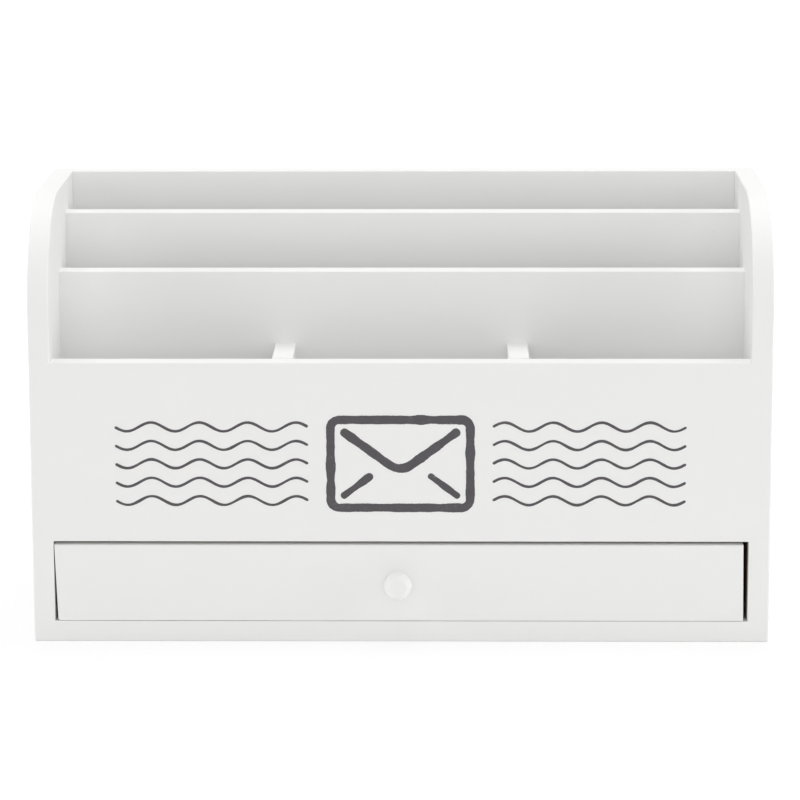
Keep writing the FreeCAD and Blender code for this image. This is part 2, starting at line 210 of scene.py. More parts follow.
class StageSettings(bpy.types.PropertyGroup):
    """Camera, light and floor."""

    camera_place: FloatVectorProperty(
        name="Camera place",
        description="Where the camera stands",
        default=(23.35 * MM, -1560.77 * MM, 425.01 * MM),
        size=3,
        unit="LENGTH",
        subtype="TRANSLATION",
    )
    camera_pitch: angle("Pitch", "How far the camera looks down", 11.814)
    camera_yaw: angle("Yaw", "How far the camera looks to the right", -0.895)
    camera_roll: angle("Roll", "How far the camera leans", -0.163)
    lens: FloatProperty(name="Lens", description="Focal length", default=155.735, unit="CAMERA")
    sky: FloatProperty(name="Sky", description="Strength of the even light all round", default=0.36, min=0.0)
    top_light: watts("Top light", "Power of the overhead softbox", 13.8)
    front_light: watts("Front light", "Power of the front softbox", 16.6)
    left_light: watts("Left light", "Power of the softbox at the left", 7.5)
    right_light: watts("Right light", "Power of the softbox at the right", 9.6)
    floor: colour("Floor", "Colour of the floor", (0.9, 0.9, 0.9))
    floor_shadow: share("Floor shadow", "How much of the floor's shading shows", 0.3)
    floor_glow: share("Floor glow", "How bright the floor shows where no light falls", 0.72)
    shadow_reach: length("Shadow reach", "Distance from the rack at which the floor is plain white", 600.0)


class SorterSettings(bpy.types.PropertyGroup):
    """All settings of the envelope sorter."""

    boards: PointerProperty(type=BoardSettings)
    drawer: PointerProperty(type=DrawerSettings)
    knob: PointerProperty(type=KnobSettings)
    marks: PointerProperty(type=MarkSettings)
    stamp: PointerProperty(type=PrintSettings)
    finish: PointerProperty(type=FinishSettings)
    stage: PointerProperty(type=StageSettings)


def settings():
    """The settings of the open scene."""
    return bpy.context.scene.sorter


# ---------------------------------------------------------------- shader writing
class Value:
    """An output socket. Arithmetic on it adds Math nodes."""

    def __init__(self, graph, socket):
        self.graph = graph
        self.socket = socket

    def math(self, operation, *values):
        sockets = dict(enumerate(values))
        return self.graph.add("ShaderNodeMath", {"operation": operation}, sockets)

    def __add__(self, other):
        return self.math("ADD", self, other)

    __radd__ = __add__

    def __sub__(self, other):
        return self.math("SUBTRACT", self, other)

    def __rsub__(self, other):
        return self.math("SUBTRACT", other, self)

    def __mul__(self, other):
        return self.math("MULTIPLY", self, other)

    __rmul__ = __mul__

    def __abs__(self):
        return self.math("ABSOLUTE", self)

    def rises(self, low, high):
        """0 below low, 1 above high and smooth between them."""
        sockets = {"Value": self, "From Min": low, "From Max": high}
        return self.graph.add("ShaderNodeMapRange", {"interpolation_type": "SMOOTHSTEP"}, sockets)

    def past(self, face):
        """1 from a face on, and 0 before it."""
        return self.rises(face - MASK_FAR, face - MASK_NEAR)

    def before(self, face):
        """1 up to a face, and 0 past it."""
        return 1.0 - self.rises(face + MASK_NEAR, face + MASK_FAR)


class Graph:
    """A node tree being written."""

    def __init__(self, tree):
        self.tree = tree
        tree.nodes.clear()

    def add(self, kind, options=None, sockets=None, output=0):
        """Adds a node, sets its options, then fills its sockets, and gives one of its outputs."""
        node = self.tree.nodes.new(kind)
        for name, value in (options or {}).items():
            setattr(node, name, value)
        for name, value in (sockets or {}).items():
            self.fill(node.inputs[name], value)
        return Value(self, node.outputs[output]) if node.outputs else None

    def fill(self, socket, value):
        if isinstance(value, Value):
            self.tree.links.new(value.socket, socket)
        else:
            socket.default_value = value

    def place(self):
        """The point on the surface, in the row frame."""
        return self.add("ShaderNodeTexCoord", output="Object")

    def axes(self, place):
        """The point's x, y and z."""
        split = self.add("ShaderNodeSeparateXYZ", sockets={"Vector": place}).socket.node
        return [Value(self, socket) for socket in split.outputs]

    def grain(self, place, size, detail, roughness=0.5, squeeze=None):
        """Soft noise from 0 to 1 whose patches are about size across, or longer where squeeze is under 1."""
        if squeeze:
            sockets = {"Vector": place, "Scale": squeeze}
            place = self.add("ShaderNodeMapping", {"vector_type": "POINT"}, sockets)
        sockets = {"Vector": place, "Scale": 1.0 / size, "Detail": detail, "Roughness": roughness}
        return self.add("ShaderNodeTexNoise", sockets=sockets)

    def blend(self, factor, first, second):
        """A colour from first to second."""
        sockets = {0: factor, 6: opaque(first), 7: opaque(second)}
        return self.add("ShaderNodeMix", {"data_type": "RGBA"}, sockets, output=2)

    def bump(self, height, depth):
        """A normal from a height of 0 to 1 that stands for a real depth."""
        return self.add("ShaderNodeBump", sockets={"Height": height, "Distance": depth, "Strength": 1.0})

    def surface(self, **sockets):
        """The surface shader and the output."""
        named = {name.replace("_", " "): value for name, value in sockets.items()}
        shader = self.add("ShaderNodeBsdfPrincipled", sockets=named)
        self.add("ShaderNodeOutputMaterial", sockets={"Surface": shader})


def opaque(value):
    """A colour with full alpha, or the socket as it is."""
    return value if isinstance(value, Value) else (*value, 1.0)


def shade(base, factor):
    """A colour made darker or, with a factor over 1, lighter."""
    return [min(1.0, channel * factor) for channel in base]


def varied(texture, middle, spread):
    """A number that a texture varies about its middle."""
    return texture * spread + (middle - spread / 2)


def new_graph(name):
    """A new material and the graph of its nodes."""
    material = bpy.data.materials.new(name)
    material.use_nodes = True
    return material, Graph(material.node_tree)


# ---------------------------------------------------------------- finishes
HARDBOARD_RELIEF = 0.03 * MM
INK_RELIEF = 0.02 * MM
SCRATCH_DEPTH = 0.01 * MM
BARE_ROUGHNESS = 0.9
BARE_RELIEF = 4.0  # depth of the bare board's fibres, as a share of the paint's texture
THIN_RELIEF = 1.5  # the same where the paint is thin
THIN_ROUGHNESS = 0.15  # how much rougher the paint is there
KNOB_SMOOTHNESS = 0.07  # how much smoother the paint is on the knob
SPRAY_FROM, SPRAY_TO = 0.3, 1.4  # the overspray thins out between these shares of its reach
THIN_PAINT = 0.35  # how much of the board shows through the thinnest paint on the drawer
INK_FADE = 0.045  # how much lighter the ink is where it lies thin
INK_VOIDS = 0.7  # how much of the paint shows in a void of the ink


def roller_texture(graph, place):
    """Height of rolled and brushed paint: a fine peel, drawn out along the boards."""
    peel = graph.grain(place, size=1.6 * MM, detail=3.0, squeeze=(0.35, 0.5, 1.0))
    streaks = graph.grain(place, size=0.9 * MM, detail=2.0, squeeze=(0.03, 0.06, 1.0))
    waves = graph.grain(place, size=24 * MM, detail=1.0, squeeze=(0.5, 0.5, 1.0))
    return peel * 0.35 + streaks * 0.25 + waves * 0.4


def fibre_texture(graph, place):
    """Height of bare fibreboard."""
    return graph.grain(place, size=0.5 * MM, detail=4.0, roughness=0.65)


def bare_board_colour(graph, place, base):
    """Fibreboard with lighter and darker fibres and slow patches."""
    fibres = graph.grain(place, size=0.7 * MM, detail=5.0, roughness=0.7, squeeze=(1.0, 1.0, 2.0))
    patches = graph.grain(place, size=18 * MM, detail=2.0)
    tone = fibres.rises(low=0.25, high=0.75) * 0.75 + patches * 0.25
    return graph.blend(tone, shade(base, 0.72), shade(base, 1.28))


def paint_colour(graph, place, base):
    """Paint with a barely visible unevenness in its cover."""
    cover = graph.grain(place, size=30 * MM, detail=3.0, squeeze=(0.4, 0.4, 1.0))
    return graph.blend(cover, shade(base, 0.985), base)


def bare_bay(graph, place, overspray):
    """1 where the drawer's bay is bare board, which starts as far in as the overspray reached."""
    x, y, z = graph.axes(place)
    base_low, base_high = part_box("base_board")
    in_bay = abs(x).before(base_high.x) * z.past(base_high.z) * z.before(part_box("letter_deck")[0].z)
    drift = graph.grain(place, size=5 * MM, detail=4.0, roughness=0.7) - 0.5
    depth = y + drift * overspray
    deep = depth.rises(base_low.y + SPRAY_FROM * overspray, base_low.y + SPRAY_TO * overspray)
    return in_bay * deep * y.before(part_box("back_panel")[0].y)


def satin_paint():
    """Satin paint outside and in the slots; in the drawer's bay it fades to bare board."""
    finish = settings().finish
    material, graph = new_graph("satin_paint")
    place = graph.place()
    bare = bare_bay(graph, place, finish.overspray)
    board = bare_board_colour(graph, place, finish.board)
    paint = paint_colour(graph, place, finish.paint)
    gloss = graph.grain(place, size=12 * MM, detail=3.0)
    roughness = varied(gloss, middle=finish.paint_roughness, spread=0.1)
    height = roller_texture(graph, place) + bare * (fibre_texture(graph, place) * BARE_RELIEF)
    graph.surface(
        Base_Color=graph.blend(bare, paint, board),
        Roughness=roughness + bare * (BARE_ROUGHNESS - finish.paint_roughness),
        Specular_IOR_Level=finish.paint_sheen,
        Normal=graph.bump(height, finish.peel),
    )
    return material


def drawer_paint():
    """Satin paint on the drawer, thinner inside the box, where the board shows through."""
    finish = settings().finish
    material, graph = new_graph("drawer_paint")
    place = graph.place()
    inside = graph.axes(place)[1].past(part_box("drawer_front")[1].y)
    clouds = graph.grain(place, size=9 * MM, detail=5.0, roughness=0.65)
    fibres = graph.grain(place, size=0.6 * MM, detail=4.0, roughness=0.7)
    thin = inside * (clouds * 0.6 + fibres * 0.4).rises(low=0.42, high=0.75) * THIN_PAINT
    board = bare_board_colour(graph, place, finish.board)
    paint = paint_colour(graph, place, finish.paint)
    height = roller_texture(graph, place) + inside * (fibre_texture(graph, place) * THIN_RELIEF)
    graph.surface(
        Base_Color=graph.blend(thin, paint, board),
        Roughness=inside * THIN_ROUGHNESS + finish.paint_roughness,
        Specular_IOR_Level=finish.paint_sheen,
        Normal=graph.bump(height, finish.peel),
    )
    return material


def knob_paint():
    """Satin paint on turned wood, with faint rings from the lathe."""
    finish = settings().finish
    material, graph = new_graph("knob_paint")
    place = graph.place()
    rings = graph.grain(place, size=0.5 * MM, detail=2.0, squeeze=(0.05, 1.0, 0.05))
    peel = graph.grain(place, size=0.9 * MM, detail=2.0)
    graph.surface(
        Base_Color=paint_colour(graph, place, finish.paint),
        Roughness=varied(peel, middle=finish.paint_roughness - KNOB_SMOOTHNESS, spread=0.1),
        Specular_IOR_Level=finish.paint_sheen,
        Normal=graph.bump(rings * 0.6 + peel * 0.4, finish.peel),
    )
    return material


def hardboard():
    """The drawer bottom: smooth pressed board with dark flecks."""
    base = settings().finish.hardboard
    material, graph = new_graph("hardboard")
    place = graph.place()
    flecks = graph.grain(place, size=1.1 * MM, detail=6.0, roughness=0.75, squeeze=(0.6, 0.9, 1.0))
    pressed = bare_board_colour(graph, place, base)
    graph.surface(
        Base_Color=graph.blend(flecks.rises(low=0.6, high=0.72), pressed, shade(base, 0.55)),
        Roughness=varied(flecks, middle=0.625, spread=0.25),
        Normal=graph.bump(fibre_texture(graph, place), HARDBOARD_RELIEF),
    )
    return material


def stamped_ink():
    """Matt charcoal ink that lies unevenly, with the paint showing in fine voids."""
    options = settings()
    material, graph = new_graph("stamped_ink")
    place = graph.place()
    clouds = graph.grain(place, size=6 * MM, detail=4.0, roughness=0.6)
    specks = graph.grain(place, size=0.45 * MM, detail=3.0, roughness=0.6)
    worn = (specks + clouds * 0.35).rises(low=0.86, high=0.98) * INK_VOIDS
    pale = [channel + INK_FADE for channel in options.stamp.ink]
    ink = graph.blend(clouds, options.stamp.ink, pale)
    graph.surface(
        Base_Color=graph.blend(worn, ink, options.finish.paint),
        Roughness=varied(clouds, middle=0.65, spread=0.2),
        Normal=graph.bump(specks, INK_RELIEF),
    )
    return material


def metal(name, base, roughness, scratch_size):
    """Bare metal with fine scratches."""
    material, graph = new_graph(name)
    scratches = graph.grain(
        graph.place(), size=scratch_size, detail=4.0, roughness=0.6, squeeze=(1.0, 0.15, 1.0)
    )
    graph.surface(
        Base_Color=graph.blend(scratches, shade(base, 0.85), base),
        Metallic=1.0,
        Roughness=varied(scratches, middle=roughness, spread=0.2),
        Normal=graph.bump(scratches, SCRATCH_DEPTH),
    )
    return material


def bright_wire():
    """The drawn steel of the pins."""
    return metal("bright_wire", settings().finish.steel, roughness=0.35, scratch_size=0.4 * MM)


def zinc_plate():
    """The plating of the knob screw."""
    return metal("zinc_plate", settings().finish.zinc, roughness=0.4, scratch_size=0.3 * MM)


FINISHES = {
    "satin_paint": satin_paint,
    "drawer_paint": drawer_paint,
    "knob_paint": knob_paint,
    "hardboard": hardboard,
    "stamped_ink": stamped_ink,
    "bright_wire": bright_wire,
    "zinc_plate": zinc_plate,
}


def finish_of(name):
    """The material of that name, made when it is first asked for."""
    return bpy.data.materials.get(name) or FINISHES[name]()


# ---------------------------------------------------------------- mesh helpers
RIPPLE_LENGTH = 0.25  # finer unevenness of a sanded edge, as shares of the unevenness it lies on
RIPPLE_HEIGHT = 0.4
MEAN_WEAR = 0.5  # mean depth of the wear, as a share of the deepest
WEAR_SWING = 0.7  # how much the unevenness adds to the mean or takes from it


def block(low, high):
    """A new mesh that holds a plain board between two corners."""
    bm = bmesh.new()
    bmesh.ops.create_cube(bm, size=1.0)
    bmesh.ops.scale(bm, vec=high - low, verts=bm.verts)
    bmesh.ops.translate(bm, vec=(low + high) / 2, verts=bm.verts)
    return bm


def lies_in(vert, planes):
    """True when the vertex lies in each plane named, such as {"y": 0.1}."""
    return all(abs(vert.co[AXES[axis]] - place) < SAME_PLACE for axis, place in planes.items())


def edges_in(bm, *places):
    """Every edge that lies in one of the places, each a dict of planes."""
    return [
        edge
        for edge in bm.edges
        if any(all(lies_in(vert, planes) for vert in edge.verts) for planes in places)
    ]


def without_repeats(items):
    """The items in their order, each once."""
    return list(dict.fromkeys(items))


def round_off(bm, edges, radius, steps):
    """Rounds edges with a true arc."""
    bmesh.ops.bevel(
        bm,
        geom=edges,
        offset=radius,
        offset_type="OFFSET",
        segments=steps,
        profile=0.5,
        affect="EDGES",
        material=-1,
        clamp_overlap=True,
    )


def cut_at(bm, axis, places):
    """Cuts the whole mesh in planes across an axis, without removing anything."""
    normal = Vector((0, 0, 0))
    normal[AXES[axis]] = 1.0
    for place in places:
        bmesh.ops.bisect_plane(
            bm,
            geom=[*bm.verts, *bm.edges, *bm.faces],
            dist=SAME_PLACE / 10,
            plane_co=normal * place,
            plane_no=normal,
        )


def even_places(low, high, spacing):
    """Places between low and high, evenly spaced, about spacing apart."""
    count = max(1, round((high - low) / spacing))
    return [low + (high - low) * step / count for step in range(1, count)]


def is_flat(face):
    """True for a face that is square to an axis."""
    return max(abs(part) for part in face.normal) > SQUARE


def looks_sideways(face):
    """True for a face that looks left or right, also where it leans."""
    return abs(face.normal.x) > SIDEWAYS


def middle_of(edge):
    """The point halfway along an edge."""
    return (edge.verts[0].co + edge.verts[1].co) / 2


def new_object(name, data):
    """A new object in the scene."""
    item = bpy.data.objects.new(name, data)
    bpy.context.scene.collection.objects.link(item)
    return item


def sand(bm):
    """Wears the rounded edges unevenly and inwards; where a rounding stops or a board ends, it stays."""
    boards = settings().boards
    bm.normal_update()
    moves = []
    for vert in bm.verts:
        rounded = any(not is_flat(face) for face in vert.link_faces)
        if rounded and all(edge.calc_face_angle(0.0) < SHARP for edge in vert.link_edges):
            wave = noise.noise(vert.co / boards.sanding_wave)
            wave += RIPPLE_HEIGHT * noise.noise(vert.co / (RIPPLE_LENGTH * boards.sanding_wave))
            depth = boards.sanding * min(1.0, max(0.0, MEAN_WEAR + WEAR_SWING * wave))
            moves.append((vert, vert.normal * -depth))
    for vert, move in moves:
        vert.co += move


def corner_normal(face, vert):
    """The shading normal of a face at a corner: roundings run into flat faces, and those stay flat."""
    if is_flat(face):
        return face.normal
    near = [other for other in vert.link_faces if other.normal.angle(face.normal) < SHARP]
    flat = [other for other in near if is_flat(other)]
    if flat:
        return min(flat, key=lambda other: other.normal.angle(face.normal)).normal
    return sum((other.normal * other.calc_area() for other in near), Vector((0, 0, 0))).normalized()


def new_piece(bm, name, material, body, replaced=()):
    """Turns a finished mesh into a piece that rides on a body and stands for CAD nodes."""
    mesh = bpy.data.meshes.new(name)
    bmesh.ops.recalc_face_normals(bm, faces=bm.faces)
    bm.normal_update()
    normals = [corner_normal(face, vert)[:] for face in bm.faces for vert in face.verts]
    bm.to_mesh(mesh)
    bm.free()
    mesh.shade_smooth()
    mesh.normals_split_custom_set(normals)
    mesh.materials.append(finish_of(material))
    piece = new_object(name, mesh)
    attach(piece, body)
    if replaced:
        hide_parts(*replaced)


# ---------------------------------------------------------------- carcass
def painted_box(name):
    """A board's box. A face with filled spots lies back by their height, so that they reach the frame's."""
    low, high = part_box(name)
    height = settings().marks.filler_height
    if name == "left_side":
        low.x += height
    elif name == "right_side":
        high.x -= height
    elif name == "back_panel":
        high.y -= height
    return low, high


def side_board(name):
    """One side: a quarter round at the top front, and its inner edge rounded only where it is bare."""
    boards = settings().boards
    low, high = painted_box(name)
    panel_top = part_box("front_panel")[1].z
    bay_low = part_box("base_board")[1].z
    bay_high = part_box("letter_deck")[0].z
    back_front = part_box("back_panel")[0].y
    panel_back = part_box("front_panel")[1].y
    outer, inner = sorted((low.x, high.x), key=abs, reverse=True)
    bm = block(low, high)
    round_off(bm, edges_in(bm, {"y": low.y, "z": high.z}), boards.corner_radius, boards.arc_steps)
    cut_at(bm, "z", (bay_low, bay_high, panel_top))
    cut_at(bm, "y", (back_front,))

    def is_outline(edge):
        return sum(looks_sideways(face) for face in edge.link_faces) == 1

    def is_over_panel(edge):
        return middle_of(edge).z > panel_top and middle_of(edge).y < back_front

    def is_by_drawer(edge):
        return bay_low < middle_of(edge).z < bay_high and middle_of(edge).y < panel_back

    by_drawer = [edge for edge in edges_in(bm, {"x": inner}) if is_outline(edge) and is_by_drawer(edge)]
    round_off(bm, by_drawer, boards.crisp_round, boards.round_steps)
    outline = [edge for edge in edges_in(bm, {"x": outer}) if is_outline(edge)]
    outline += [edge for edge in edges_in(bm, {"x": inner}) if is_outline(edge) and is_over_panel(edge)]
    outline += edges_in(
        bm, {"y": low.y, "z": low.z}, {"y": high.y, "z": low.z}, {"y": high.y, "z": high.z}
    )
    round_off(bm, without_repeats(outline), boards.edge_round, boards.round_steps)
    cut_at(bm, "z", even_places(low.z, high.z - boards.corner_radius, boards.cut_spacing))
    cut_at(bm, "y", even_places(low.y + boards.corner_radius, high.y, boards.cut_spacing))
    sand(bm)
    return bm


def cross_board(name, soft, crisp):
    """A board between the sides, with its soft edges rounded and its crisp ones hardly."""
    boards = settings().boards
    low, high = painted_box(name)
    bm = block(low, high)
    round_off(bm, edges_in(bm, *edge_places(name, *soft)), boards.edge_round, boards.round_steps)
    round_off(bm, edges_in(bm, *edge_places(name, *crisp)), boards.crisp_round, boards.round_steps)
    cut_at(bm, "x", even_places(low.x, high.x, boards.cut_spacing))
    sand(bm)
    return bm


def edge_places(name, *corners):
    """The edges along a board, each named by its faces, such as "front top"."""
    low, high = painted_box(name)
    planes = {
        "front": ("y", low.y),
        "back": ("y", high.y),
        "bottom": ("z", low.z),
        "top": ("z", high.z),
        "left": ("x", low.x),
        "right": ("x", high.x),
    }
    return [dict(planes[face] for face in corner.split()) for corner in corners]


class SORTER_OT_side_boards(bpy.types.Operator):
    """Builds the two side boards with their quarter rounds."""

    bl_idname = "sorter.side_boards"
    bl_label = "Side boards"

    def execute(self, context):
        for name in ("left_side", "right_side"):
            new_piece(side_board(name), name + "_board", "satin_paint", CARCASS, [name])
        return {"FINISHED"}


class SORTER_OT_cross_boards(bpy.types.Operator):
    """Builds the boards that run between the sides."""

    bl_idname = "sorter.cross_boards"
    bl_label = "Cross boards"

    def execute(self, context):
        edges = {
            "base_board": (["front bottom"], ["front top"]),
            "front_panel": (["front top", "back top"], ["front bottom"]),
            "front_divider": (["front top", "back top"], []),
            "rear_divider": (["front top", "back top"], []),
            "back_panel": (["front top", "back top", "back bottom"], ["back left", "back right"]),
        }
        for name, (soft, crisp) in edges.items():
            bm = cross_board(name, soft, crisp)
            new_piece(bm, name + "_painted", "satin_paint", CARCASS, [name])
        return {"FINISHED"}


class SORTER_OT_partitions(bpy.types.Operator):
    """Builds the two short partitions of the front pocket."""

    bl_idname = "sorter.partitions"
    bl_label = "Partitions"

    def execute(self, context):
        boards = settings().boards
        for name in ("left_partition", "right_partition"):
            low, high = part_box(name)
            bm = block(low, high)
            top_edges = edges_in(bm, *edge_places(name, "left top", "right top"))
            round_off(bm, top_edges, boards.edge_round, boards.round_steps)
            cut_at(bm, "y", even_places(low.y, high.y, boards.cut_spacing / 2))
            sand(bm)
            new_piece(bm, name + "_painted", "satin_paint", CARCASS, [name])
        return {"FINISHED"}


# ---------------------------------------------------------------- paint marks
SAG_TALL = 1.2  # the sag's half height, as a share of how proud it stands
RUN_PLACE = 0.55  # the run at the sag's right end, from its middle, as a share of its length
RUN_SHAPE = (1.6, 0.7, 1.0)  # half sizes of the run, as shares of how proud the sag stands
NIB_SHAPE = (1.0, 0.6, 1.2)  # half sizes of a speck, as shares of its radius


def droplet(bm, middle, radii):
    """A flattened drop of paint or filler, half sunk in the board."""
    made = bmesh.ops.create_icosphere(bm, subdivisions=3, radius=1.0)["verts"]
    bmesh.ops.scale(bm, vec=radii, verts=made)
    bmesh.ops.translate(bm, vec=middle, verts=made)


def pin_places(name):
    """The middle of each pin in one node of the frame."""
    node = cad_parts[name]
    bm = bmesh.new()
    bm.from_mesh(node.data)
    bmesh.ops.transform(bm, matrix=node.matrix_world, verts=bm.verts)
    bmesh.ops.remove_doubles(bm, verts=bm.verts, dist=SAME_PLACE)
    places = []
    seen = set()
    for first in bm.verts:
        pin = [] if first in seen else [first]
        for vert in pin:
            seen.add(vert)
            near = [edge.other_vert(vert) for edge in vert.link_edges]
            pin += [other for other in near if other not in pin]
        if pin:
            places.append(sum((vert.co for vert in pin), Vector((0, 0, 0))) / len(pin))
    bm.free()
    return places


def filled_spots():
    """A filled spot over each pin head on the outside."""
    marks = settings().marks
    bm = bmesh.new()
    for pins, axis, face in (
        ("left_side_pins", "x", painted_box("left_side")[0].x),
        ("right_side_pins", "x", painted_box("right_side")[1].x),
        ("back_panel_pins", "y", painted_box("back_panel")[1].y),
    ):
        radii = [marks.filler_radius] * 3
        radii[AXES[axis]] = marks.filler_height
        for middle in pin_places(pins):
            middle[AXES[axis]] = face
            droplet(bm, middle, radii)
    return bm


def sag_and_specks():
    """A sag with a run at its right end on the rear divider, and a speck on each divider."""
    marks = settings().marks
    bm = bmesh.new()
    low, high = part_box("rear_divider")
    sag = Vector((high.x - marks.sag_place, low.y, high.z - marks.sag_drop))
    droplet(bm, sag, (marks.sag_length / 2, marks.sag_height, SAG_TALL * marks.sag_height))
    run = sag + Vector((RUN_PLACE * marks.sag_length, 0, -marks.sag_drop))
    droplet(bm, run, Vector(RUN_SHAPE) * marks.sag_height)
    for name, place, drop in (
        ("rear_divider", marks.rear_nib_place, marks.rear_nib_drop),
        ("front_divider", marks.front_nib_place, marks.front_nib_drop),
    ):
        low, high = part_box(name)
        nib = Vector((high.x - place, low.y, high.z - drop))
        droplet(bm, nib, Vector(NIB_SHAPE) * marks.nib_radius)
    return bm


class SORTER_OT_paint_marks(bpy.types.Operator):
    """Adds the filled spots over the pin heads, and a sag and specks in the paint."""

    bl_idname = "sorter.paint_marks"
    bl_label = "Paint marks"

    def execute(self, context):
        new_piece(filled_spots(), "pin_filler", "satin_paint", CARCASS)
        new_piece(sag_and_specks(), "paint_sag", "satin_paint", CARCASS)
        return {"FINISHED"}


# ---------------------------------------------------------------- print
INK_STEP = 0.35 * MM  # length of a stroke's faces
SWELL_LENGTH = 6 * MM
RAGGED_LENGTH = 0.9 * MM
RAGGED_SHARE = 0.25  # of a stroke's unevenness
FOLD_GAP = 1.2  # between the outline's middle and a fold's end, as a share of the stroke
FLAP_DROP = 0.1  # the flap's tip under the middle, as a share of the envelope's height
FLAP_ROUND = 0.2  # share of each leg of the flap that its rounded tip takes
FOLD_REACH = 0.2  # a lower fold's upper end, as shares of the envelope's width and height
FOLD_RISE = 0.12
FOLD_STROKE = 0.8  # a lower fold's width, as a share of the stroke


def ink_stroke(bm, path, reach, width, closed=False):
    """One stroke of ink along path(0..1), with uneven edges and, where it is open, rounded ends."""
    stamp = settings().stamp
    steps = round(reach / INK_STEP)
    made = bmesh.ops.create_grid(bm, x_segments=steps, y_segments=2, size=0.5)["verts"]
    for vert in made:
        along = vert.co.x + 0.5
        across = vert.co.y * 2
        here = path(along)
        ahead = path(along + 0.5 / steps) - path(along - 0.5 / steps)
        sideways = Vector((-ahead.y, ahead.x)).normalized()
        sample = Vector((*here, across * INK_STEP))
        swell = stamp.unevenness * noise.noise(sample / SWELL_LENGTH)
        ragged = RAGGED_SHARE * stamp.unevenness * noise.noise(sample / RAGGED_LENGTH)
        half = width / 2 * (1 + swell + ragged)
        if not closed:
            from_end = min(along, 1 - along) * reach
            if from_end < half:
                half = math.sqrt(max(0.0, half**2 - (half - from_end) ** 2))
        point = here + sideways * across * half
        vert.co = Vector((point.x, 0, point.y))


def straight(start, end):
    """A path from start to end."""
    return lambda along: start.lerp(end, along)


def bent(start, corner, end, soft):
    """A path from start to end by way of a corner, rounded over the share soft of each leg."""
    before = corner.lerp(start, soft)
    after = corner.lerp(end, soft)
    turn = soft / 2

    def path(along):
        if along < 0.5 - turn:
            return start.lerp(before, along / (0.5 - turn))
        if along > 0.5 + turn:
            return after.lerp(end, (along - 0.5 - turn) / (0.5 - turn))
        part = (along - 0.5 + turn) / (2 * turn)
        return before.lerp(corner, part).lerp(corner.lerp(after, part), part)

    return path


def wave(start, reach, height, wave_length):
    """A wavy path to the right of start."""
    turns = reach / wave_length

    def path(along):
        return start + Vector((along * reach, height * math.sin(2 * math.pi * turns * along)))

    return path


def rounded_box(middle, width, height, radius):
    """A closed path round a box with rounded corners, clockwise from the middle of its top."""
    flat_x = width / 2 - radius
    flat_z = height / 2 - radius
    quarter = math.pi * radius / 2
    legs = [(flat_x, False)]
    for flat in (2 * flat_z, 2 * flat_x, 2 * flat_z, flat_x):
        legs += [(quarter, True), (flat, False)]
    total = sum(leg for leg, turns in legs)

    def path(along):
        left = (along % 1.0) * total
        point = middle + Vector((0, height / 2))
        heading = 0.0
        for leg, turns in legs:
            part = min(left, leg)
            if turns:
                centre = point + Vector((math.sin(heading), -math.cos(heading))) * radius
                heading -= part / radius
                point = centre + Vector((-math.sin(heading), math.cos(heading))) * radius
            else:
                point = point + Vector((math.cos(heading), math.sin(heading))) * part
            left -= part
            if left <= 0:
                break
        return point

    return path, total


def envelope_strokes(bm, stamp):
    """A closed envelope: its outline, its flap and its two lower folds."""
    middle = Vector((0, stamp.middle_height))
    stroke = stamp.bold_stroke
    width = stamp.envelope_width - stroke
    height = stamp.envelope_height - stroke
    path, total = rounded_box(middle, width, height, stroke)
    ink_stroke(bm, path, total, stroke, closed=True)
    gap = stroke * FOLD_GAP
    corner = Vector((width / 2 - gap, height / 2 - gap))
    left = middle + Vector((-corner.x, corner.y))
    right = middle + corner
    tip = middle + Vector((0, -FLAP_DROP * height))
    ink_stroke(bm, bent(left, tip, right, FLAP_ROUND), 2 * (left - tip).length, stroke)
    for side in (-1, 1):
        low = middle + Vector((side * corner.x, -corner.y))
        high = middle + Vector((side * FOLD_REACH * width, -FOLD_RISE * height))
        ink_stroke(bm, straight(low, high), (low - high).length, stroke * FOLD_STROKE)


def wavy_lines(bm, stamp):
    """Fine wavy lines on both sides of the envelope."""
    clear = stamp.envelope_width / 2 + stamp.wave_clearance
    for row in range(stamp.wave_lines):
        height = stamp.middle_height + (row - (stamp.wave_lines - 1) / 2) * stamp.wave_pitch
        for side in (-1, 1):
            left = clear if side > 0 else -clear - stamp.wave_reach
            path = wave(Vector((left, height)), stamp.wave_reach, stamp.wave_height * side, stamp.wave_length)
            ink_stroke(bm, path, stamp.wave_reach, stamp.fine_stroke)


class SORTER_OT_front_print(bpy.types.Operator):
    """Stamps an envelope and wavy lines on the front panel."""

    bl_idname = "sorter.front_print"
    bl_label = "Front print"

    def execute(self, context):
        stamp = settings().stamp
        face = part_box("front_panel")[0].y
        for name, draw in (("print_envelope", envelope_strokes), ("print_waves", wavy_lines)):
            bm = bmesh.new()
            draw(bm, stamp)
            bmesh.ops.remove_doubles(bm, verts=bm.verts, dist=SAME_PLACE)
            sunk = stamp.film / 2
            bmesh.ops.translate(bm, vec=(0, face + sunk, 0), verts=bm.verts)
            grown = bmesh.ops.extrude_face_region(bm, geom=bm.faces[:])["geom"]
            lifted = [item for item in grown if isinstance(item, bmesh.types.BMVert)]
            bmesh.ops.translate(bm, vec=(0, -(stamp.film + sunk), 0), verts=lifted)
            new_piece(bm, name, "stamped_ink", CARCASS)
        return {"FINISHED"}


# ---------------------------------------------------------------- drawer and knob
NECK_PULL = 0.6  # where the neck's curve is pulled to, as a share of the way from the foot to the waist
NECK_STEPS = 4
UNDERSIDE_STEPS = 10
SHOULDER_STEPS = 14
DISH_STEPS = 8


